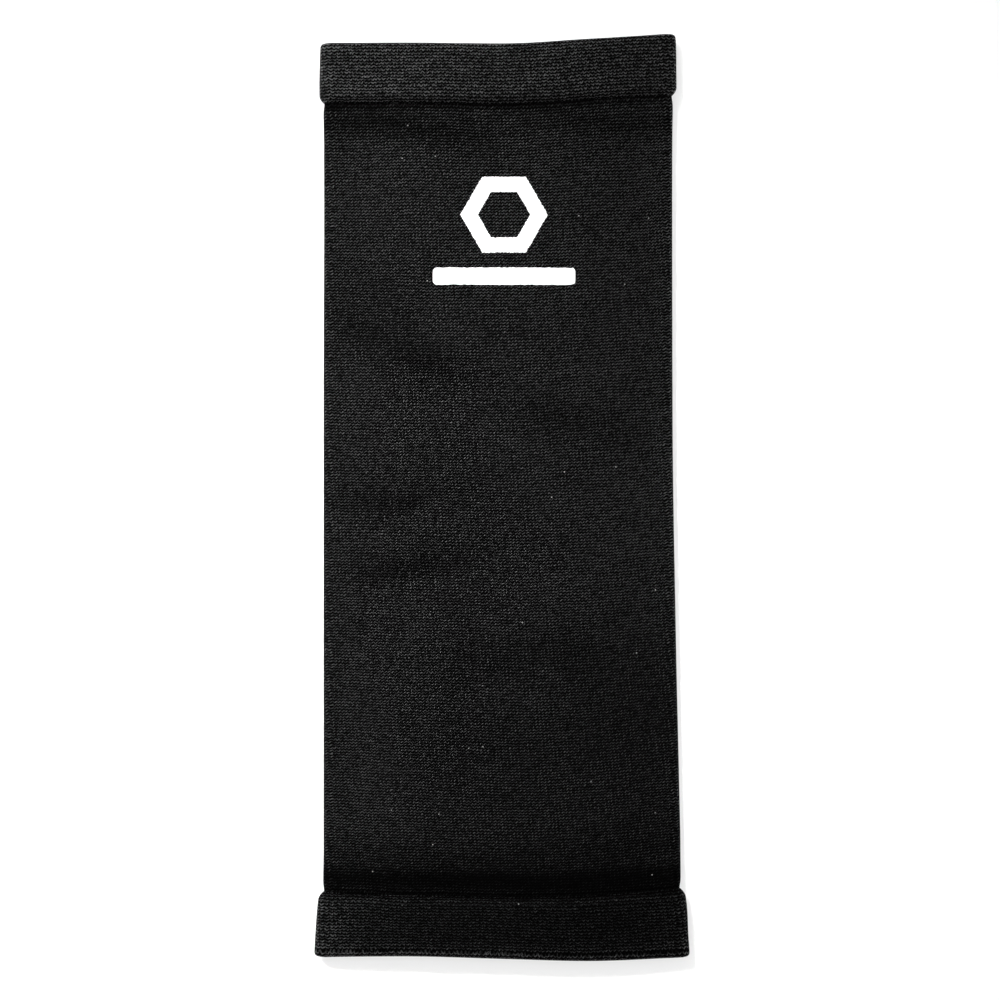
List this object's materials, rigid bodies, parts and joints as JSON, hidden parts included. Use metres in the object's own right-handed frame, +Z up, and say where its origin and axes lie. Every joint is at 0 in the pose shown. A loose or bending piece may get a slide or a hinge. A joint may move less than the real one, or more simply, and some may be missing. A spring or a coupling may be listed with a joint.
{
  "type": "knitted shin guard sleeve",
  "caption": "Black stretch-knit sleeve for the shin and calf, lying flat, with a doubled cuff at each end and a plain white print on the front.",
  "frame": {"origin": "on the surface that the sleeve lies on, under the middle of its box", "axes": "+Y along the leg towards the top cuff, +Z up from the surface through the printed front, +X across the sleeve"},
  "size_m": [0.1102, 0.2711, 0.0124],
  "materials": {
    "tube_knit": "black plain stretch knit, matte, with a fine column and row texture",
    "cuff_knit": "black doubled knit, matte, denser than the tube",
    "white_print": "thin white heat-pressed film, satin"
  },
  "bodies": {
    "root": {"leg_tube": "tube_knit", "top_cuff": "cuff_knit", "bottom_cuff": "cuff_knit", "print_hexagon": "white_print", "print_bar": "white_print"}
  },
  "joints": []
}
